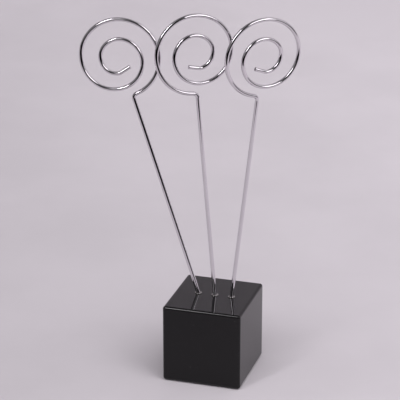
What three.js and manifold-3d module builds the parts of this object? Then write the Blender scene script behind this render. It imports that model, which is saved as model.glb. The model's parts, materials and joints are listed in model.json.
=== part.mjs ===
// Memo holder: a gloss black block, nearly a cube, that carries three chrome wires. Each wire ends in a flat
// spiral that clips a memo between its turns.
// Millimetres, +Z up. The origin is the middle of the pad's underside, on the desk.
// +X runs to the right along the front face and +Y points away from the viewer.

import * as THREE from 'three';
import { RoundedBoxGeometry } from 'three/addons/geometries/RoundedBoxGeometry.js';
import { mergeVertices } from 'three/addons/utils/BufferGeometryUtils.js';
import Module from 'manifold-3d';

const wasm = await Module();
wasm.setup();

const degrees = THREE.MathUtils.degToRad;

// Block
const blockWidth = 40;
const blockDepth = 42.6;
const blockHeight = 40;
const blockFillet = 1.4;

// Pad under the block
const padThickness = 0.4;
const padMargin = 3; // from the block's side to the pad's edge
const padCornerRadius = 2;

// Wire, one shape for all three
const wireDiameter = 2;
const stemLength = 104.5; // from the block's top to the bend
const bendRadius = 2.6; // at the middle of the wire, as are the radii below
const bendAngle = degrees(82.2);
const spiralStartRadius = 19.2; // how tightly the wire curves where it leaves the bend,
const spiralOuterRadius = 19.4; // after a quarter of the spiral's turn,
const spiralMiddleRadius = 14.6; // after half of it,
const spiralInnerRadius = 9.8; // after three quarters
const spiralEndRadius = 7.1; // and at the spiral's end
const spiralTurn = degrees(703);
const tailBendRadius = 2.6;
const tailBendAngle = degrees(25); // a last small bend, after the spiral
const tailLength = 5.7; // straight end inside the spiral

// Holes in the block and the ferrules that line them
const holePitch = 8.6;
const holeRowOffset = 0.85; // the row sits a little to the right of the block's middle
const holeDepth = 12; // along the stem
const ferruleWall = 0.35;
const lipOverhang = 0.25; // past the edge of the hole
const lipHeight = 0.35;

// Fits
const swivelClearance = 0.1; // between the wire and its ferrule, all round
const glueGap = 0.15; // between the ferrule's sleeve and its hole
const lipGap = 0.05; // under the ferrule's lip
const endGap = 0.3; // under the foot of the wire

// How each wire stands: its lean to the right and to the back, and how far it is turned on its stem
const stands = [
  { side: 'left', leanRight: degrees(-18.2), leanBack: degrees(-0.3), swivel: degrees(191.6) },
  { side: 'middle', leanRight: degrees(-4.5), leanBack: degrees(-1.5), swivel: degrees(35.8) },
  { side: 'right', leanRight: degrees(6.3), leanBack: degrees(1.3), swivel: degrees(41.3) },
];

// Facets
const wireSides = 12;
const roundSides = 24;
const filletSteps = 4;
const lipSteps = 4;
const bendSteps = 7;
const spiralSteps = 70;
const tailBendSteps = 3;

// Sizes that follow from the ones above
const wireRadius = wireDiameter / 2;
const boreRadius = wireRadius + swivelClearance;
const sleeveRadius = boreRadius + ferruleWall;
const holeRadius = sleeveRadius + glueGap;
const lipRadius = holeRadius + lipOverhang;
const blockTop = padThickness + blockHeight;

const lacquer = new THREE.MeshStandardMaterial({ color: 0x0b0a0c, roughness: 0.06, metalness: 0 });
const rubber = new THREE.MeshStandardMaterial({ color: 0x1c1b1d, roughness: 0.85, metalness: 0 });
const chrome = new THREE.MeshStandardMaterial({ color: 0xd9d8dc, roughness: 0.08, metalness: 1 });
const blackNickel = new THREE.MeshStandardMaterial({ color: 0x999796, roughness: 0.16, metalness: 1 });

function toSolid(geometry) {
  const bare = geometry.clone();
  bare.deleteAttribute('normal');
  bare.deleteAttribute('uv');
  const merged = mergeVertices(bare);
  const vertProperties = Float32Array.from(merged.attributes.position.array);
  const triVerts = Uint32Array.from(merged.index.array);
  return new wasm.Manifold(new wasm.Mesh({ numProp: 3, vertProperties, triVerts }));
}

function toGeometry(solid) {
  const mesh = solid.getMesh();
  const geometry = new THREE.BufferGeometry();
  geometry.setAttribute('position', new THREE.BufferAttribute(mesh.vertProperties, 3));
  geometry.setIndex(new THREE.BufferAttribute(mesh.triVerts, 1));
  geometry.computeVertexNormals();
  return geometry;
}

function named(name, geometry, material) {
  const mesh = new THREE.Mesh(geometry, material);
  mesh.name = name;
  return mesh;
}

// A round rod on the Z axis, from one height to another.
function rod(radius, bottom, top) {
  const length = top - bottom;
  const geometry = new THREE.CylinderGeometry(radius, radius, length, roundSides);
  return geometry.rotateX(Math.PI / 2).translate(0, 0, bottom + length / 2);
}

// Where a stem leaves the block's top face.
function footOf(index) {
  const fromMiddle = index - (stands.length - 1) / 2;
  return new THREE.Vector3(holeRowOffset + fromMiddle * holePitch, 0, blockTop);
}

// The frame of a stem: Z along it, X as near to the block's X as the lean allows.
function stemFrame(stand, index) {
  const along = new THREE.Vector3(Math.tan(stand.leanRight), Math.tan(stand.leanBack), 1).normalize();
  const across = new THREE.Vector3(1, 0, 0).addScaledVector(along, -along.x).normalize();
  const behind = along.clone().cross(across);
  return new THREE.Matrix4().makeBasis(across, behind, along).setPosition(footOf(index));
}

// The block: a box with round edges and one slanted blind hole for each stem.
function makeBlock() {
  const box = new RoundedBoxGeometry(blockWidth, blockDepth, blockHeight, filletSteps, blockFillet);
  box.translate(0, 0, padThickness + blockHeight / 2);
  let solid = toSolid(box);
  stands.forEach((stand, index) => {
    const hole = rod(holeRadius, -holeDepth, holeDepth).applyMatrix4(stemFrame(stand, index));
    solid = solid.subtract(toSolid(hole));
  });
  return named('base_block', toGeometry(solid), lacquer);
}

// The pad: a thin sheet with round corners, stuck to the block's flat underside.
function makePad() {
  const x = blockWidth / 2 - padMargin - padCornerRadius;
  const y = blockDepth / 2 - padMargin - padCornerRadius;
  const quarter = Math.PI / 2;
  const outline = new THREE.Shape();
  outline.absarc(x, y, padCornerRadius, 0, quarter);
  outline.absarc(-x, y, padCornerRadius, quarter, 2 * quarter);
  outline.absarc(-x, -y, padCornerRadius, 2 * quarter, 3 * quarter);
  outline.absarc(x, -y, padCornerRadius, 3 * quarter, 4 * quarter);
  const sheet = { depth: padThickness, bevelEnabled: false, curveSegments: filletSteps };
  return named('base_pad', new THREE.ExtrudeGeometry(outline, sheet), rubber);
}

// A ferrule: a sleeve that slants with the stem, under a low round-edged lip that lies flat on the block.
function makeFerrule(stand, index) {
  const frame = stemFrame(stand, index);
  const foot = footOf(index);
  const lipBottom = foot.z + lipGap;

  const profile = new THREE.Path();
  profile.moveTo(0, 0);
  profile.lineTo(lipRadius, 0);
  profile.absarc(lipRadius - lipHeight, 0, lipHeight, 0, Math.PI / 2);
  profile.lineTo(0, lipHeight);
  const lip = new THREE.LatheGeometry(profile.getPoints(lipSteps), roundSides);
  lip.rotateX(Math.PI / 2).translate(foot.x, foot.y, lipBottom);

  const sleeve = rod(sleeveRadius, glueGap - holeDepth, holeDepth).applyMatrix4(frame);
  const aboveLip = new THREE.BoxGeometry(2 * blockWidth, 2 * blockDepth, 2 * holeDepth);
  aboveLip.translate(foot.x, foot.y, lipBottom + lipHeight / 2 + holeDepth);
  const bore = rod(boreRadius, -2 * holeDepth, 2 * holeDepth).applyMatrix4(frame);

  const trimmedSleeve = toSolid(sleeve).subtract(toSolid(aboveLip));
  const solid = toSolid(lip).add(trimmedSleeve).subtract(toSolid(bore));
  return named(`ferrule_${stand.side}`, toGeometry(solid), blackNickel);
}

// How tightly the spiral curves, from 0 at the bend to 1 at its inner end.
function spiralRadius(share) {
  const radii = [
    spiralStartRadius,
    spiralOuterRadius,
    spiralMiddleRadius,
    spiralInnerRadius,
    spiralEndRadius,
  ];
  const place = share * (radii.length - 1);
  const index = Math.floor(place);
  return THREE.MathUtils.lerp(radii[index], radii[index + 1], place - index);
}

// The middle of the wire as places in its own flat plane, each with the way that the wire heads there:
// up the stem, left round the bend, then right round the spiral as a chain of short arcs, and through
// a last small bend into the straight tail.
function wirePlaces() {
  const places = [];
  const point = new THREE.Vector2(0, endGap - holeDepth);
  let heading = Math.PI / 2;
  const mark = () => places.push({ point: point.clone(), heading });
  const step = (length, direction) => {
    point.x += length * Math.cos(direction);
    point.y += length * Math.sin(direction);
  };
  const goStraight = (length) => {
    step(length, heading);
    mark();
  };
  const goRound = (radius, angle) => {
    step(2 * radius * Math.sin(Math.abs(angle) / 2), heading + angle / 2);
    heading += angle;
    mark();
  };
  mark();
  goStraight(holeDepth - endGap + stemLength);
  for (let i = 0; i < bendSteps; i += 1) {
    goRound(bendRadius, bendAngle / bendSteps);
  }
  for (let i = 0; i < spiralSteps; i += 1) {
    goRound(spiralRadius((i + 0.5) / spiralSteps), -spiralTurn / spiralSteps);
  }
  for (let i = 0; i < tailBendSteps; i += 1) {
    goRound(tailBendRadius, -tailBendAngle / tailBendSteps);
  }
  goStraight(tailLength);
  return places;
}

// The wire's middle as a curve that has one ring of the tube at each place, however far apart they are.
class WirePath extends THREE.Curve {
  constructor(places) {
    super();
    this.places = places;
    this.last = places.length - 1;
  }

  getUtoTmapping(u) {
    return u;
  }

  getPoint(t, target = new THREE.Vector3()) {
    const index = Math.min(Math.floor(t * this.last), this.last - 1);
    const from = this.places[index].point;
    const to = this.places[index + 1].point;
    const { x, y } = from.clone().lerp(to, t * this.last - index);
    return target.set(x, 0, y);
  }

  getTangent(t, target = new THREE.Vector3()) {
    const { heading } = this.places[Math.round(t * this.last)];
    return target.set(Math.cos(heading), 0, Math.sin(heading));
  }
}

// The least gap between two turns of one wire, taken between places half a turn or more apart.
function leastTurnGap(places) {
  let least = Infinity;
  places.forEach((a) => {
    places.forEach((b) => {
      if (a.heading - b.heading >= Math.PI) {
        least = Math.min(least, a.point.distanceTo(b.point) - wireDiameter);
      }
    });
  });
  return least;
}

const places = wirePlaces();
console.log(`Least gap between the turns of a wire: ${leastTurnGap(places).toFixed(2)} mm`);

// A wire: one unbroken tube along its middle, turned on its stem.
function makeWire(stand) {
  const section = new THREE.Shape().absarc(0, 0, wireRadius, 0, 2 * Math.PI);
  const sweep = {
    steps: places.length - 1,
    curveSegments: wireSides / 2,
    extrudePath: new WirePath(places),
  };
  const wire = named(`wire_${stand.side}`, new THREE.ExtrudeGeometry(section, sweep), chrome);
  wire.rotation.z = stand.swivel;
  return wire;
}

const memoHolder = new THREE.Group();
memoHolder.add(makeBlock(), makePad());
stands.forEach((stand, index) => {
  const stem = new THREE.Group();
  stem.applyMatrix4(stemFrame(stand, index));
  stem.add(makeWire(stand));
  memoHolder.add(makeFerrule(stand, index), stem);
});

export default memoHolder;
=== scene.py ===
# %% [markdown]
# # A memo holder with three spiral clips
# The object is a gloss black block on a thin rubber pad. Three chrome wires stand in its top, each in a small
# dark ferrule. Each wire ends in a flat spiral, and a memo is clipped between the turns of the spiral.
# Solids of the eight pieces already exist, with their real sizes, joints and mounts. This lesson loads them
# as a fixed frame and models a finer piece over each solid, then gives each piece its finish.

import json
import math
from collections import namedtuple

import bmesh
import bpy
from mathutils import Matrix, Vector
from mathutils.kdtree import KDTree


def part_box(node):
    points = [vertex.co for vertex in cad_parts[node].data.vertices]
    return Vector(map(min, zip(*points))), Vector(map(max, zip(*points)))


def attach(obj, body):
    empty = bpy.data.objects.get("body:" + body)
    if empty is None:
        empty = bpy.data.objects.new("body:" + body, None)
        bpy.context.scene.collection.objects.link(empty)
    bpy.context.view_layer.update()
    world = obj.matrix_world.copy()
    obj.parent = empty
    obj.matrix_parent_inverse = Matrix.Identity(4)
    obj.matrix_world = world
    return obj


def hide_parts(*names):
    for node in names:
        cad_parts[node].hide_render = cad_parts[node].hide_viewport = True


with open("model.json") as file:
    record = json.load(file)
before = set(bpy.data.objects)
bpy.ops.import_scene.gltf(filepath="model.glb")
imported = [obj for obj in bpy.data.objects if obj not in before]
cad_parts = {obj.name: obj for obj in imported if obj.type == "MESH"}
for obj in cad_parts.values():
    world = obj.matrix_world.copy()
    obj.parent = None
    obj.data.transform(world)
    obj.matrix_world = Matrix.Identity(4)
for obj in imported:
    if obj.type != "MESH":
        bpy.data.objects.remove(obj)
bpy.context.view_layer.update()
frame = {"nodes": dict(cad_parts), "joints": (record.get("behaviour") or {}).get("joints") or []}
mm = 0.001
print("Solids in the frame:", ", ".join(sorted(frame["nodes"])))

# %% [markdown]
# ## Habits for every piece
# An operator acts on all that is selected, and loading leaves the solids selected. So each piece starts
# from an empty selection. A finished piece has its place in its mesh and its object at the origin, because
# then a pattern on Object coordinates is in real metres on every piece. The helpers here do those chores.


# %% Chores that each piece needs
def clear_selection():
    bpy.ops.object.select_all(action="DESELECT")


def choose(piece):
    """Select one piece alone, and make it the active one."""
    clear_selection()
    piece.select_set(True)
    bpy.context.view_layer.objects.active = piece


def settle(piece, name):
    """Name a piece, and move its place from its object into its mesh."""
    choose(piece)
    bpy.ops.object.transform_apply(location=True, rotation=True, scale=True)
    piece.name = name
    piece.data.name = name


def report(piece):
    """Print how a piece is built, and whether its skin is closed."""
    shape = bmesh.new()
    shape.from_mesh(piece.data)
    open_edges = sum(not edge.is_manifold for edge in shape.edges)
    volume = shape.calc_volume(signed=True) / mm**3
    print(f"{piece.name}: {len(shape.faces)} faces, {open_edges} open edges, {volume:.1f} cubic mm")
    shape.free()


print("Still selected after loading:", len(bpy.context.selected_objects))

# %% [markdown]
# ## Where the wires stand
# Each wire swivels on its own stem, so the frame's joints already say where a stem leaves the block and which
# way it leans. One matrix for each stem turns "up the wire" into that lean. The holes, the ferrules and the
# wires are all modelled upright and then placed by it, so they stay in line.

# %% Stem frames from the joints
sides = ("left", "middle", "right")
joints = {joint["name"]: joint for joint in frame["joints"]}


def frame_at(origin, x_axis, y_axis, z_axis):
    """A matrix that carries the origin to a point, and X, Y and Z to these axes."""
    return Matrix.Translation(origin) @ Matrix((x_axis, y_axis, z_axis)).transposed().to_4x4()


def foot_of(side):
    """Where a stem leaves the block's top face."""
    return Vector(joints[f"{side}_swivel"]["pos_m"])


def stem_frame(side):
    """Z runs up the stem, and X is as near to the block's X as the lean allows."""
    along = Vector(joints[f"{side}_swivel"]["axis"]).normalized()
    across = (Vector((1, 0, 0)) - along * along.x).normalized()
    return frame_at(foot_of(side), across, along.cross(across), along)


for side in sides:
    lean = math.degrees(Vector(joints[f"{side}_swivel"]["axis"]).angle(Vector((0, 0, 1))))
    print(f"The {side} stem leans {lean:.1f} degrees")

# %% [markdown]
# ## The block
# The real base is a wooden block, nearly a cube, under black piano lacquer that rounds every edge a little.
# A subdivided cube would go soft all over, and the real faces are flat. So a plain cube gets one round bevel
# on all its edges, which also makes the ball-shaped corners.

# %% The block with round edges
block_low, block_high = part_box("base_block")
block_size = block_high - block_low
block_middle = (block_low + block_high) / 2
block_fillet = 1.4 * mm
fillet_segments = 10


def round_off(width, segments):
    """In edit mode, bevel the selected edges round."""
    bpy.ops.mesh.bevel(offset=width, segments=segments, affect="EDGES", clamp_overlap=False)


clear_selection()
bpy.ops.mesh.primitive_cube_add(size=1, location=block_middle, scale=block_size)
block = bpy.context.object
settle(block, "lacquered_block")
bpy.ops.object.mode_set(mode="EDIT")
bpy.ops.mesh.select_all(action="SELECT")
round_off(block_fillet, fillet_segments)
bpy.ops.object.mode_set(mode="OBJECT")
report(block)

# %% [markdown]
# Each stem sits in a slanted blind hole. A boolean with a slanted rod drills it as a bit would. The rod is
# centred on the foot, so half of it is in the wood and the other half is above the top face.

# %% The slanted holes
hole_depth = 12 * mm
hole_radius = 1.6 * mm
round_sides = 48


def rod(radius, length, side):
    """A round rod in line with a stem, with its middle at the foot."""
    clear_selection()
    bpy.ops.mesh.primitive_cylinder_add(vertices=round_sides, radius=radius, depth=length)
    made = bpy.context.object
    made.matrix_world = stem_frame(side)
    settle(made, f"rod_{side}")
    return made


def apply_modifier(piece, kind, **settings):
    """Add a modifier with these settings and apply it at once."""
    modifier = piece.modifiers.new(kind.title(), kind)
    for setting, value in settings.items():
        setattr(modifier, setting, value)
    bpy.context.view_layer.objects.active = piece
    bpy.ops.object.modifier_apply(modifier=modifier.name)


def cut(piece, tool, operation="DIFFERENCE"):
    """Cut a piece by a tool, or join them, and throw the tool away."""
    apply_modifier(piece, "BOOLEAN", operation=operation, object=tool, solver="EXACT")
    bpy.data.objects.remove(tool)


for side in sides:
    cut(block, rod(hole_radius, 2 * hole_depth, side))
report(block)

# %% [markdown]
# In a mirror-like finish the shading matters as much as the shape. Weighted normals keep the faces flat right
# up to the fillets, so that reflections on them stay straight.

# %% Flat faces and smooth fillets
smooth_angle = math.radians(35)
flat_face_weight = 100


def smooth(piece):
    """Shade the round parts smooth and keep real corners sharp."""
    choose(piece)
    bpy.ops.object.shade_smooth_by_angle(angle=smooth_angle)


smooth(block)
apply_modifier(block, "WEIGHTED_NORMAL", mode="FACE_AREA", weight=flat_face_weight, keep_sharp=True)
print("Block faces in mm:", [round(value / mm, 2) for value in block_size])

# %% [markdown]
# ## The pad
# A thin sheet of rubber under the block keeps it from sliding. It would be die-cut, so its corners are round
# and its edges only a little soft. Two bevels do that: a wide one on the four upright edges, then a narrow
# one round the rims.

# %% The rubber pad
pad_low, pad_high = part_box("base_pad")
pad_corner = 2 * mm
pad_corner_segments = 8
pad_soft_edge = 0.1 * mm
soft_edge_segments = 3
same_height = 0.01 * mm


def pick_edges(piece, test):
    """In edit mode, select only the edges whose two end points pass a test."""
    bpy.ops.mesh.select_mode(type="EDGE")
    bpy.ops.mesh.select_all(action="DESELECT")
    shape = bmesh.from_edit_mesh(piece.data)
    for edge in shape.edges:
        edge.select_set(test(edge.verts[0].co, edge.verts[1].co))
    bmesh.update_edit_mesh(piece.data)


def is_upright(first, second):
    return abs(first.z - second.z) > same_height


def lies_at(height):
    """A test for the edges that lie level at a height."""
    return lambda first, second: max(abs(first.z - height), abs(second.z - height)) < same_height


clear_selection()
bpy.ops.mesh.primitive_cube_add(size=1, location=(pad_low + pad_high) / 2, scale=pad_high - pad_low)
pad = bpy.context.object
settle(pad, "rubber_pad")
bpy.ops.object.mode_set(mode="EDIT")
pick_edges(pad, is_upright)
round_off(pad_corner, pad_corner_segments)
for level in (pad_low.z, pad_high.z):
    pick_edges(pad, lies_at(level))
    round_off(pad_soft_edge, soft_edge_segments)
bpy.ops.object.mode_set(mode="OBJECT")
smooth(pad)
report(pad)

# %% [markdown]
# ## The ferrules
# A small metal sleeve lines each hole, and its low round lip lies flat on the lacquer. In the photograph only
# the front of the lip shows, as a thin grey crescent at the foot of a stem. The sleeve slants with the stem
# but the lip doesn't, so they are two turned shapes that are joined, and the bore is then drilled through
# both.

# %% Ferrules with lip, sleeve and bore
bore_radius = 1.1 * mm
bore_length = 4 * hole_depth
sleeve_radius = 1.45 * mm
lip_radius = 1.85 * mm
lip_height = 0.35 * mm
lip_round = 0.3 * mm
lip_segments = 8
lip_gap = 0.05 * mm
glue_gap = 0.15 * mm


def lip_middle(side):
    """The middle of a lip, which lies just clear of the lacquer."""
    return foot_of(side) + Vector((0, 0, lip_gap + lip_height / 2))


def make_lip(side):
    """A low disc with a round upper rim, lying flat on the block."""
    middle = lip_middle(side)
    clear_selection()
    bpy.ops.mesh.primitive_cylinder_add(
        vertices=round_sides, radius=lip_radius, depth=lip_height, location=middle
    )
    lip = bpy.context.object
    settle(lip, f"ferrule_{side}_turned")
    bpy.ops.object.mode_set(mode="EDIT")
    pick_edges(lip, lies_at(middle.z + lip_height / 2))
    round_off(lip_round, lip_segments)
    bpy.ops.object.mode_set(mode="OBJECT")
    return lip


def make_sleeve(side):
    """A slanted tube blank that ends half-way up the lip."""
    blank = rod(sleeve_radius, 2 * (hole_depth - glue_gap), side)
    bpy.ops.object.mode_set(mode="EDIT")
    bpy.ops.mesh.select_all(action="SELECT")
    bpy.ops.mesh.bisect(plane_co=lip_middle(side), plane_no=(0, 0, 1), use_fill=True, clear_outer=True)
    bpy.ops.object.mode_set(mode="OBJECT")
    return blank


ferrules = {}
for side in sides:
    ferrule = make_lip(side)
    cut(ferrule, make_sleeve(side), operation="UNION")
    cut(ferrule, rod(bore_radius, bore_length, side))
    smooth(ferrule)
    ferrules[side] = ferrule
    report(ferrule)

# %% [markdown]
# ## The wire
# All three wires are bent alike: up the stem, a tight bend to the left, then about two turns to the right
# that tighten as they go, a last small bend and a short straight tail. A curve with a round bevel would give
# the same look, but here the wire is fed through a bender as in the workshop: a disc is extruded up the stem,
# and then spun through one short arc after another. The arcs share their headings at the ends, so no kinks
# show. How tightly the wire curves is set at five places along the spiral and runs evenly between them.

# %% Sizes of the wire
wire_radius = 1 * mm
stem_length = 104.5 * mm
end_gap = 0.3 * mm
bend_radius = 2.6 * mm
bend_angle = math.radians(82.2)
spiral_radii = (19.2 * mm, 19.4 * mm, 14.6 * mm, 9.8 * mm, 7.1 * mm)
spiral_turn = math.radians(703)
tail_bend_radius = 2.6 * mm
tail_bend_angle = math.radians(25)
tail_length = 5.7 * mm
cut_end_bevel = 0.14 * mm
print("Curve radius in mm along the spiral:", [round(radius / mm, 1) for radius in spiral_radii])

# %% A wire bender
wire_sides = 24
cut_end_segments = 3
Ring = namedtuple("Ring", "point heading fed")


def left_of(heading):
    """The direction to the left of a heading in the XZ plane."""
    return Vector((-math.sin(heading), 0, math.cos(heading)))


class WireBender:
    """Feeds a round wire in the XZ plane, starting upwards, and notes each ring of points that it leaves."""

    def __init__(self, start_height):
        self.point = Vector((0, 0, start_height))
        self.heading = math.pi / 2
        self.fed = 0
        self.rings = []
        self.note_ring(0)
        clear_selection()
        bpy.ops.mesh.primitive_circle_add(
            vertices=wire_sides, radius=wire_radius, fill_type="NGON", location=self.point
        )
        self.wire = bpy.context.object
        bpy.ops.object.mode_set(mode="EDIT")
        bpy.ops.mesh.select_all(action="SELECT")

    def note_ring(self, length):
        self.fed += length
        self.rings.append(Ring(self.point.copy(), self.heading, self.fed))

    def feed_straight(self, length):
        step = length * Vector((math.cos(self.heading), 0, math.sin(self.heading)))
        bpy.ops.mesh.extrude_region_move(TRANSFORM_OT_translate={"value": step})
        self.point += step
        self.note_ring(length)

    def feed_arc(self, radius, angle, rings):
        """Bend to the left for a positive angle, and to the right for a negative one."""
        centre = self.point + math.copysign(radius, angle) * left_of(self.heading)
        bpy.ops.mesh.spin(steps=rings, angle=angle, center=centre, axis=(0, 1, 0), use_auto_merge=False)
        turn = Matrix.Rotation(-angle / rings, 3, "Y")
        for _ in range(rings):
            self.point = centre + turn @ (self.point - centre)
            self.heading += angle / rings
            self.note_ring(radius * abs(angle) / rings)

    def finish(self):
        """Break the sharp rim of the cut end, and close the work."""
        round_off(cut_end_bevel, cut_end_segments)
        bpy.ops.mesh.select_all(action="SELECT")
        bpy.ops.mesh.normals_make_consistent(inside=False)
        bpy.ops.object.mode_set(mode="OBJECT")
        return self.wire


print(f"The bender takes wire of {2 * wire_radius / mm:.0f} mm")

# %% The pattern wire
bend_rings = 14
spiral_arcs = 70
rings_per_arc = 3
tail_bend_rings = 6


def spiral_radius(share):
    """How tightly the spiral curves, from 0 at the bend to 1 at its inner end."""
    place = share * (len(spiral_radii) - 1)
    index = int(place)
    beyond = place - index
    return spiral_radii[index] * (1 - beyond) + spiral_radii[index + 1] * beyond


bender = WireBender(end_gap - hole_depth)
bender.feed_straight(hole_depth - end_gap + stem_length)
bender.feed_arc(bend_radius, bend_angle, bend_rings)
for arc in range(spiral_arcs):
    bender.feed_arc(spiral_radius((arc + 0.5) / spiral_arcs), -spiral_turn / spiral_arcs, rings_per_arc)
bender.feed_arc(tail_bend_radius, -tail_bend_angle, tail_bend_rings)
bender.feed_straight(tail_length)
pattern_wire = bender.finish()
settle(pattern_wire, "pattern_wire")
smooth(pattern_wire)
report(pattern_wire)
print(f"Wire used: {bender.fed / mm:.0f} mm")

# %% [markdown]
# Chrome wire keeps faint lines from the die that it was drawn through, and they follow the wire round every
# bend. A pattern on plain Object coordinates would cut across the turns. So each point of the mesh stores
# where it is on the wire: across, out of the plane, and how far along. The chrome reads that attribute later.

# %% Where each point is on the wire
ring_finder = KDTree(len(bender.rings))
for index, ring in enumerate(bender.rings):
    ring_finder.insert(ring.point, index)
ring_finder.balance()

drawn = pattern_wire.data.attributes.new("drawn", "FLOAT_VECTOR", "POINT")
for vertex, mark in zip(pattern_wire.data.vertices, drawn.data):
    in_plane = Vector((vertex.co.x, 0, vertex.co.z))
    ring = bender.rings[ring_finder.find(in_plane)[1]]
    across = (in_plane - ring.point).dot(left_of(ring.heading))
    mark.vector = (across, vertex.co.y, ring.fed)
print("Marked", len(drawn.data), "points along the wire")

# %% [markdown]
# The three wires are copies of the pattern, each with its own mesh. A wire is first turned on its stem by its
# swivel and then leaned with its hole. The left one is turned about 155 degrees from the others, so it shows
# its other face and its spiral winds the other way.

# %% Three wires in their places
swivels = {"left": math.radians(191.6), "middle": math.radians(35.8), "right": math.radians(41.3)}
wires = {}
for side in sides:
    wire = pattern_wire.copy()
    wire.data = pattern_wire.data.copy()
    bpy.context.scene.collection.objects.link(wire)
    wire.matrix_world = stem_frame(side) @ Matrix.Rotation(swivels[side], 4, "Z")
    settle(wire, f"chrome_wire_{side}")
    wires[side] = wire
    report(wire)
bpy.data.objects.remove(pattern_wire)

# %% [markdown]
# ## Pieces ride on the frame
# Each new piece stands for one solid, moves with that solid's body and takes its finish from the same slot.

# %% Tie the pieces to the frame
ties = [(block, "base", "base_block", "black_lacquer"), (pad, "base", "base_pad", "pad_rubber")]
for side in sides:
    ties.append((ferrules[side], "base", f"ferrule_{side}", "ferrule_nickel"))
    ties.append((wires[side], f"{side}_clip", f"wire_{side}", "wire_chrome"))
for piece, body, node, slot in ties:
    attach(piece, body)
    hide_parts(node)
print("Pieces tied:", len(ties))

# %% [markdown]
# ## Finishes
# None of the surfaces is one flat value. Small effects that several finishes share are node groups: settled
# dust, hair-fine scratches from wiping, and the soft haze that hands leave. Each group is built once, and
# each material gives it its own scale and strength. All scales are in marks per metre.


# %% Helpers for shader nodes
def add_node(tree, kind, inputs, **options):
    """Add a node, set its options, and link or set its inputs."""
    made = tree.nodes.new(kind)
    for option, value in options.items():
        setattr(made, option, value)
    for socket, value in inputs.items():
        if isinstance(value, bpy.types.NodeSocket):
            tree.links.new(value, made.inputs[socket])
        else:
            made.inputs[socket].default_value = value
    return made


def reckon(tree, operation, first, second):
    """The result of a sum on two values."""
    return add_node(tree, "ShaderNodeMath", {0: first, 1: second}, operation=operation).outputs[0]


def remap(tree, value, low, high, to_low=0.0, to_high=1.0):
    """A value moved smoothly from one range to another."""
    ranges = {"Value": value, "From Min": low, "From Max": high, "To Min": to_low, "To Max": to_high}
    return add_node(tree, "ShaderNodeMapRange", ranges, interpolation_type="SMOOTHSTEP").outputs["Result"]


def tint(tree, mask, below, above):
    """One colour where a mask is 0, and another where it is 1."""
    mixed = add_node(tree, "ShaderNodeMix", {"Factor": mask, 6: below, 7: above}, data_type="RGBA")
    return mixed.outputs[2]


print("Shader helpers are ready")


# %% Helpers for node groups
def new_group(name, inputs, output):
    """An empty node group with a Vector, some numbers and one result."""
    tree = bpy.data.node_groups.new(name, "ShaderNodeTree")
    tree.interface.new_socket("Vector", in_out="INPUT", socket_type="NodeSocketVector")
    for socket in inputs:
        tree.interface.new_socket(socket, in_out="INPUT", socket_type="NodeSocketFloat")
    tree.interface.new_socket(output, in_out="OUTPUT", socket_type="NodeSocketFloat")
    given = tree.nodes.new("NodeGroupInput").outputs
    result = tree.nodes.new("NodeGroupOutput").inputs
    return tree, given, result


def use_group(tree, group, inputs):
    """The result of a node group that is placed in a material."""
    return add_node(tree, "ShaderNodeGroup", inputs, node_tree=group).outputs[0]


print("Node groups so far:", len(bpy.data.node_groups))

# %% [markdown]
# **Settled dust.** Specks lie at random, and most places are clean. A Voronoi pattern has one random point in
# each cell, so a speck is drawn round the point, but only in the few cells whose random colour is low enough.


# %% Node group for settled dust
def chosen_specks(tree, place, scale, size, cover, channel):
    """A speck in each Voronoi cell whose random colour has a low value in one channel."""
    cells = add_node(tree, "ShaderNodeTexVoronoi", {"Vector": place, "Scale": scale}, feature="F1")
    luck = add_node(tree, "ShaderNodeSeparateColor", {"Color": cells.outputs["Color"]}).outputs[channel]
    is_chosen = reckon(tree, "LESS_THAN", luck, cover)
    speck = remap(tree, cells.outputs["Distance"], size, 0.0)
    return reckon(tree, "MULTIPLY", speck, is_chosen)


dust_group, given, result = new_group("settled_dust", ("Grains", "Size", "Cover"), "Mask")
grains = chosen_specks(dust_group, given["Vector"], given["Grains"], given["Size"], given["Cover"], "Red")
dust_group.links.new(grains, result["Mask"])
print("Made", dust_group.name)

# %% [markdown]
# **Hair scratches.** A wiping cloth leaves short fine lines that run mostly one way. Cells of the same
# Voronoi pattern are stretched until a speck becomes a line. Two layers at different angles cross each other.

# %% Node group for hair scratches
stretch = 0.035
scratch_angles = (math.radians(24), math.radians(-51))

scratch_group, given, result = new_group("hair_scratches", ("Lines", "Width", "Cover"), "Mask")
layers = []
for angle in scratch_angles:
    wiping = {"Vector": given["Vector"], "Rotation": (angle, angle, angle), "Scale": (stretch, 1, 1)}
    place = add_node(scratch_group, "ShaderNodeMapping", wiping).outputs["Vector"]
    layers.append(
        chosen_specks(scratch_group, place, given["Lines"], given["Width"], given["Cover"], "Green")
    )
scratch_group.links.new(reckon(scratch_group, "MAXIMUM", *layers), result["Mask"])
print("Made", scratch_group.name)

# %% [markdown]
# **Handling haze.** Fingers and polish leave clouds that are a little less glossy. Soft noise between two
# values of roughness is enough.

# %% Node group for handling haze
haze_group, given, result = new_group("handling_haze", ("Clouds", "Clearest", "Haziest"), "Roughness")
clouds = add_node(
    haze_group,
    "ShaderNodeTexNoise",
    {"Vector": given["Vector"], "Scale": given["Clouds"], "Detail": 4.0, "Roughness": 0.55},
)
haze = remap(haze_group, clouds.outputs["Fac"], 0.35, 0.7, given["Clearest"], given["Haziest"])
haze_group.links.new(haze, result["Roughness"])
print("Made", haze_group.name)


# %% A new finish
def new_finish(name):
    """A material with its shader and an Object coordinate to start from."""
    material = bpy.data.materials.new(name)
    material.use_nodes = True
    tree = material.node_tree
    shader = tree.nodes["Principled BSDF"]
    place = add_node(tree, "ShaderNodeTexCoord", {}).outputs["Object"]
    return material, tree, shader, place


def roughen(tree, haze, extras):
    """Haze plus a share of each mark."""
    total = haze
    for mask, amount in extras:
        total = reckon(tree, "ADD", total, reckon(tree, "MULTIPLY", mask, amount))
    return total


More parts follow.
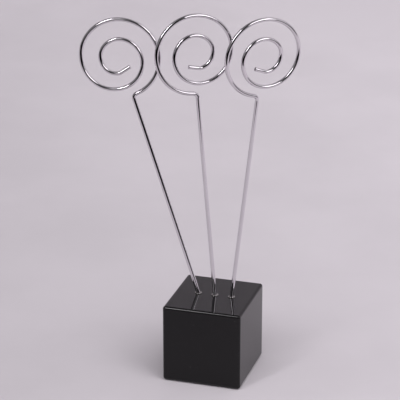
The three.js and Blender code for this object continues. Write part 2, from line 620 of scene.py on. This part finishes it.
def emboss(tree, shader, height, strength, depth):
    """Make the light on a surface follow a relief."""
    bump = add_node(tree, "ShaderNodeBump", {"Height": height, "Strength": strength, "Distance": depth})
    tree.links.new(bump.outputs["Normal"], shader.inputs["Normal"])


print("Finishes can be made")

# %% [markdown]
# ## Black piano lacquer
# The lacquer is nearly black and as smooth as glass, so almost all that shows on it is reflection: faint on
# the front, which is seen square on, and stronger on the top and the side, which are seen at a slant. The
# shader gives that by itself from the index of refraction. What is added is small: the long soft waves of a
# sprayed coat, a few specks of dust, hair scratches, and a slightly rubbed look along the edges. A point is
# on an edge where it is near two faces at once.

# %% Where the lacquer is rubbed
lacquer, tree, shader, place = new_finish("black_lacquer")
from_middle = add_node(tree, "ShaderNodeVectorMath", {0: place, 1: block_middle}, operation="SUBTRACT")
spread = add_node(tree, "ShaderNodeVectorMath", {0: from_middle.outputs["Vector"]}, operation="ABSOLUTE")
axes = add_node(tree, "ShaderNodeSeparateXYZ", {"Vector": spread.outputs["Vector"]})
near_face = []
for axis, half in zip("XYZ", block_size / 2):
    near_face.append(remap(tree, axes.outputs[axis], half - block_fillet, half))
near_edge = []
for first, second in ((0, 1), (1, 2), (2, 0)):
    near_edge.append(reckon(tree, "MULTIPLY", near_face[first], near_face[second]))
edges = reckon(tree, "ADD", reckon(tree, "ADD", near_edge[0], near_edge[1]), near_edge[2])
patches = add_node(tree, "ShaderNodeTexNoise", {"Vector": place, "Scale": 420.0, "Detail": 5.0})
rubbed = reckon(tree, "MULTIPLY", edges, remap(tree, patches.outputs["Fac"], 0.45, 0.75))
print("Edge wear nodes:", len(tree.nodes))

# %% Lacquer finish
lacquer_black = (0.0028, 0.0025, 0.0030, 1)
rubbed_black = (0.0090, 0.0082, 0.0088, 1)
dust_grey = (0.20, 0.19, 0.19, 1)
dust_height = 6.0
coat_relief = 0.003 * mm
lacquer_index = 1.4

dust = use_group(tree, dust_group, {"Vector": place, "Grains": 520.0, "Size": 0.11, "Cover": 0.16})
scratches = use_group(tree, scratch_group, {"Vector": place, "Lines": 700.0, "Width": 0.06, "Cover": 0.12})
haze = use_group(tree, haze_group, {"Vector": place, "Clouds": 70.0, "Clearest": 0.012, "Haziest": 0.045})
rubbed_colour = tint(tree, rubbed, lacquer_black, rubbed_black)
tree.links.new(tint(tree, dust, rubbed_colour, dust_grey), shader.inputs["Base Color"])
gloss = roughen(tree, haze, [(dust, 0.5), (scratches, 0.12), (rubbed, 0.08)])
tree.links.new(gloss, shader.inputs["Roughness"])

waves = add_node(tree, "ShaderNodeTexNoise", {"Vector": place, "Scale": 260.0, "Detail": 1.0})
coat = reckon(tree, "ADD", waves.outputs["Fac"], reckon(tree, "MULTIPLY", dust, dust_height))
emboss(tree, shader, coat, strength=1.0, depth=coat_relief)
shader.inputs["IOR"].default_value = lacquer_index
block.data.materials.append(lacquer)
print("Lacquer nodes:", len(tree.nodes))

# %% [markdown]
# ## Bright chrome
# Chrome plate shows the room and little else. It is a touch bluish and darker than silver. Faint lines from
# drawing run along the wire under the plate, so they use the stored place on the wire, stretched along it.
# A few tiny pits break the shine.

# %% Chrome finish
chrome_light = (0.78, 0.755, 0.785, 1)
chrome_dark = (0.70, 0.675, 0.71, 1)
pit_grey = (0.30, 0.29, 0.29, 1)
line_stretch = 0.02
line_relief = 0.002 * mm

chrome, tree, shader, place = new_finish("wire_chrome")
on_wire = add_node(tree, "ShaderNodeAttribute", {}, attribute_name="drawn").outputs["Vector"]
line_room = add_node(tree, "ShaderNodeMapping", {"Vector": on_wire, "Scale": (1, 1, line_stretch)})
lines = add_node(
    tree, "ShaderNodeTexNoise", {"Vector": line_room.outputs["Vector"], "Scale": 2600.0, "Detail": 3.0}
)
line_mask = remap(tree, lines.outputs["Fac"], 0.5, 0.75)
clouds = add_node(tree, "ShaderNodeTexNoise", {"Vector": place, "Scale": 160.0, "Detail": 3.0})
pits = use_group(tree, dust_group, {"Vector": place, "Grains": 900.0, "Size": 0.10, "Cover": 0.10})
haze = use_group(tree, haze_group, {"Vector": place, "Clouds": 220.0, "Clearest": 0.02, "Haziest": 0.05})
plate = tint(tree, clouds.outputs["Fac"], chrome_dark, chrome_light)
tree.links.new(tint(tree, pits, plate, pit_grey), shader.inputs["Base Color"])
tree.links.new(roughen(tree, haze, [(pits, 0.25), (line_mask, 0.05)]), shader.inputs["Roughness"])
emboss(tree, shader, lines.outputs["Fac"], strength=0.6, depth=line_relief)
shader.inputs["Metallic"].default_value = 1
for side in sides:
    wires[side].data.materials.append(chrome)
print("Chrome nodes:", len(tree.nodes))

# %% [markdown]
# ## Black nickel
# The ferrules are plated dark, so that they hardly show on the lacquer: black nickel is a grey mirror, warmer
# and softer than chrome. The wire rubs them each time that it is turned, so they have more scratches and
# haze.

# %% Black nickel finish
nickel_light = (0.38, 0.37, 0.36, 1)
nickel_dark = (0.26, 0.253, 0.247, 1)
scratch_relief = 0.004 * mm

nickel, tree, shader, place = new_finish("ferrule_nickel")
clouds = add_node(tree, "ShaderNodeTexNoise", {"Vector": place, "Scale": 700.0, "Detail": 4.0})
scratches = use_group(tree, scratch_group, {"Vector": place, "Lines": 2400.0, "Width": 0.12, "Cover": 0.3})
haze = use_group(tree, haze_group, {"Vector": place, "Clouds": 900.0, "Clearest": 0.10, "Haziest": 0.22})
tree.links.new(tint(tree, clouds.outputs["Fac"], nickel_dark, nickel_light), shader.inputs["Base Color"])
tree.links.new(roughen(tree, haze, [(scratches, 0.15)]), shader.inputs["Roughness"])
emboss(tree, shader, scratches, strength=0.4, depth=scratch_relief)
shader.inputs["Metallic"].default_value = 1
for side in sides:
    ferrules[side].data.materials.append(nickel)
print("Nickel nodes:", len(tree.nodes))

# %% [markdown]
# ## Matt rubber
# The pad is cut from a calendered sheet: dead black, with a fine leathery grain and some dust that stuck to
# it.

# %% Rubber finish
rubber_black = (0.010, 0.0095, 0.010, 1)
rubber_worn = (0.019, 0.018, 0.0185, 1)
grain_relief = 0.08 * mm

rubber, tree, shader, place = new_finish("pad_rubber")
grain = add_node(tree, "ShaderNodeTexVoronoi", {"Vector": place, "Scale": 2600.0}, feature="SMOOTH_F1")
clouds = add_node(tree, "ShaderNodeTexNoise", {"Vector": place, "Scale": 120.0, "Detail": 5.0})
dust = use_group(tree, dust_group, {"Vector": place, "Grains": 800.0, "Size": 0.14, "Cover": 0.25})
haze = use_group(tree, haze_group, {"Vector": place, "Clouds": 150.0, "Clearest": 0.72, "Haziest": 0.9})
sheet = tint(tree, clouds.outputs["Fac"], rubber_black, rubber_worn)
tree.links.new(tint(tree, dust, sheet, dust_grey), shader.inputs["Base Color"])
tree.links.new(haze, shader.inputs["Roughness"])
emboss(tree, shader, grain.outputs["Distance"], strength=0.7, depth=grain_relief)
pad.data.materials.append(rubber)
print("Rubber nodes:", len(tree.nodes))

# %% [markdown]
# ## The paper sweep
# The holder stands on a wide sheet of pale paper that curves up behind it, so that no horizon shows. A plane
# is enough for the flat part. Its back edge is spun through a quarter turn for the curve, and then extruded
# up. The sheet is a stage and not a piece of the holder.

# %% Paper sweep
table_reach = 4.0
curve_start = 1.2
curve_radius = 0.5
curve_steps = 24
wall_height = 1.0

table_depth = table_reach + curve_start
table_middle = (0, curve_start - table_depth / 2, 0)
curve_centre = (0, curve_start, curve_radius)
clear_selection()
bpy.ops.mesh.primitive_plane_add(size=1, location=table_middle)
sweep = bpy.context.object
sweep.scale = (2 * table_reach, table_depth, 1)
settle(sweep, "paper_sweep")
bpy.ops.object.mode_set(mode="EDIT")
pick_edges(sweep, lambda first, second: min(first.y, second.y) > curve_start - mm)
bpy.ops.mesh.spin(
    steps=curve_steps, angle=-math.pi / 2, center=curve_centre, axis=(1, 0, 0), use_auto_merge=False
)
bpy.ops.mesh.extrude_region_move(TRANSFORM_OT_translate={"value": (0, 0, wall_height)})
bpy.ops.object.mode_set(mode="OBJECT")
smooth(sweep)
print(f"The sweep is {max(vertex.co.z for vertex in sweep.data.vertices):.2f} m high at the back")

# %% [markdown]
# The paper is a little paler to the back and to the right: that gradient is painted light, as if more light
# fell there, and not the paper's own tone. Soft clouds break up its real tone.

# %% Paper finish
# Both paper colours are the ends of the painted light gradient and of the paper's cloudy tone alike.
paper_painted_light_and_tone = (0.78, 0.746, 0.78, 1)
paper_painted_shade_and_tone = (0.55, 0.526, 0.55, 1)
painted_light_slope = (1.1, 1.4, 0.0)

paper, tree, shader, place = new_finish("sweep_paper")
fibres = add_node(tree, "ShaderNodeTexNoise", {"Vector": place, "Scale": 9.0, "Detail": 6.0})
# Painted light: a gradient that makes the paper paler to the back and to the right.
painted_light_ramp = add_node(tree, "ShaderNodeVectorMath", {0: place, 1: painted_light_slope}, operation="DOT_PRODUCT")
cloud_share = remap(tree, fibres.outputs["Fac"], 0.3, 0.7, to_low=0.16, to_high=0.36)
painted_light_and_tone_mask = reckon(tree, "ADD", painted_light_ramp.outputs["Value"], cloud_share)
tree.links.new(tint(tree, painted_light_and_tone_mask, paper_painted_shade_and_tone, paper_painted_light_and_tone), shader.inputs["Base Color"])
shader.inputs["Roughness"].default_value = 0.9
shader.inputs["Specular IOR Level"].default_value = 0.1
sweep.data.materials.append(paper)
print("Paper nodes:", len(tree.nodes))

# %% [markdown]
# ## What the chrome mirrors
# A mirror-like wire looks like what stands round it, so the room is part of its finish. Soft boxes will draw
# the bright arcs. The dark streaks come from two dark cards: a long low one just past the edge of the
# picture, and a tall narrow one where the camera is. Only mirrors see them, as a photographer's black cards
# do their work out of the picture. They fade out at the foot, so that no hard edge shows where they meet the
# paper.

# %% Card felt
felt_black = (0.006, 0.006, 0.0065, 1)
soft_foot = 0.03

felt, tree, shader, place = new_finish("card_felt")
card_height = add_node(tree, "ShaderNodeSeparateXYZ", {"Vector": place}).outputs["Z"]
tree.links.new(remap(tree, card_height, 0.0, soft_foot), shader.inputs["Alpha"])
shader.inputs["Base Color"].default_value = felt_black
shader.inputs["Roughness"].default_value = 1
shader.inputs["Specular IOR Level"].default_value = 0
print("Felt nodes:", len(tree.nodes))


# %% Dark cards
def toward(azimuth, elevation):
    """A direction: azimuth 0 is behind the holder, 90 to its right and 180 in front of it."""
    around = math.radians(azimuth)
    above = math.radians(elevation)
    level = math.cos(above)
    return Vector((math.sin(around) * level, math.cos(around) * level, math.sin(above)))


def stand_card(name, azimuth, distance, width, height):
    """An upright dark card that faces the holder, and that only mirrors see."""
    clear_selection()
    middle = distance * toward(azimuth, 0) + Vector((0, 0, height / 2))
    bpy.ops.mesh.primitive_plane_add(size=1, location=middle)
    card = bpy.context.object
    card.scale = (width, height, 1)
    card.rotation_euler = (math.pi / 2, 0, math.radians(180 - azimuth))
    settle(card, name)
    card.visible_camera = False
    card.visible_diffuse = False
    card.visible_shadow = False
    card.data.materials.append(felt)
    print(f"{name}: {width:.2f} m wide and {height:.2f} m tall")


stand_card("low_dark_card", azimuth=155, distance=0.31, width=2.4, height=0.19)
stand_card("tall_dark_card", azimuth=157, distance=0.45, width=0.24, height=1.3)

# %% [markdown]
# ## The room and its soft boxes
# A dim room fills what the lamps and cards leave, paler behind and to the right. The key box stands to the
# right of the camera and the fill box to its left. Beside the fill, a narrow strip box draws the thin bright
# line on the block's front edge. Those three alone would leave the paper too dark, and a brighter key would
# burn out the wires. So a large box high in front lights the paper evenly, and the mirrors don't see it.

# %% Dim room
room_dim = (0.2, 0.193, 0.2, 1)
room_pale = (0.6, 0.578, 0.6, 1)
pale_side = toward(55, 15)

world = bpy.data.worlds.new("dim_room")
bpy.context.scene.world = world
world.use_nodes = True
tree = world.node_tree
outward = add_node(tree, "ShaderNodeTexCoord", {}).outputs["Generated"]
nearness = add_node(tree, "ShaderNodeVectorMath", {0: outward, 1: pale_side}, operation="DOT_PRODUCT")
pale_share = remap(tree, nearness.outputs["Value"], 0.1, 0.85)
tree.links.new(tint(tree, pale_share, room_dim, room_pale), tree.nodes["Background"].inputs["Color"])
print("The room is", room_dim[0], "at the left and above, and", room_pale[0], "at the right and behind")

# %% Soft boxes
lamp_aim = Vector((0, 0, 0.06))
lamp_tint = (1.0, 0.965, 1.0)


def soft_box(name, direction, distance, width, height, power):
    """A soft box in a direction, pointed at the holder."""
    lamp = bpy.data.lights.new(name, "AREA")
    lamp.shape = "RECTANGLE"
    lamp.size = width
    lamp.size_y = height
    lamp.energy = power
    lamp.color = lamp_tint
    holder = bpy.data.objects.new(name, lamp)
    bpy.context.scene.collection.objects.link(holder)
    holder.location = lamp_aim + distance * direction
    holder.rotation_mode = "QUATERNION"
    holder.rotation_quaternion = (-direction).to_track_quat("-Z", "Y")
    holder.visible_camera = False
    return holder


soft_box("key_box", toward(117, 35), distance=1.6, width=1.0, height=1.0, power=6.0)
soft_box("fill_box", toward(194, 38), distance=2.0, width=1.05, height=1.05, power=2.6)
soft_box("strip_box", toward(206, 42), distance=2.0, width=0.2, height=1.1, power=7.2)
front_box = soft_box("front_box", toward(150, 65), distance=3.5, width=3.0, height=3.0, power=63)
front_box.visible_glossy = False

# %% [markdown]
# ## The camera
# The camera stands in front, to the right and above, with a long lens. Its angles and distance come from the
# block's edges and the wires as they lie in the photograph. It doesn't look at the block's middle but at a
# point above it, so that the spirals fit in the picture.

# %% Camera
camera_azimuth = 163
camera_elevation = 21.63
camera_roll = math.radians(0.03)
camera_distance = 1043 * mm
aim_right = -6.64 * mm
aim_up = 65.98 * mm
focal_length_px = 2069.5
picture_px = 400
sensor_mm = 36

back = toward(camera_azimuth, camera_elevation)
level_right = Vector((0, 0, 1)).cross(back).normalized()
level_up = back.cross(level_right)
right = math.cos(camera_roll) * level_right + math.sin(camera_roll) * level_up
up = back.cross(right)
aim_point = block_middle + aim_right * right + aim_up * up

camera_data = bpy.data.cameras.new("camera")
camera_data.sensor_width = sensor_mm
camera_data.lens = focal_length_px / picture_px * sensor_mm
camera = bpy.data.objects.new("camera", camera_data)
bpy.context.scene.collection.objects.link(camera)
camera.matrix_world = frame_at(aim_point + camera_distance * back, right, up, back)
bpy.context.scene.camera = camera
bpy.context.scene.view_settings.view_transform = "Standard"
print(f"Lens: {camera_data.lens:.1f} mm")

# %% [markdown]
# ## Bringing the scene up to date
# The finer pieces are meant to stay within the solids that they stand for. This last cell only brings the
# view layer up to date.

# %% Bring the view layer up to date
bpy.context.view_layer.update()
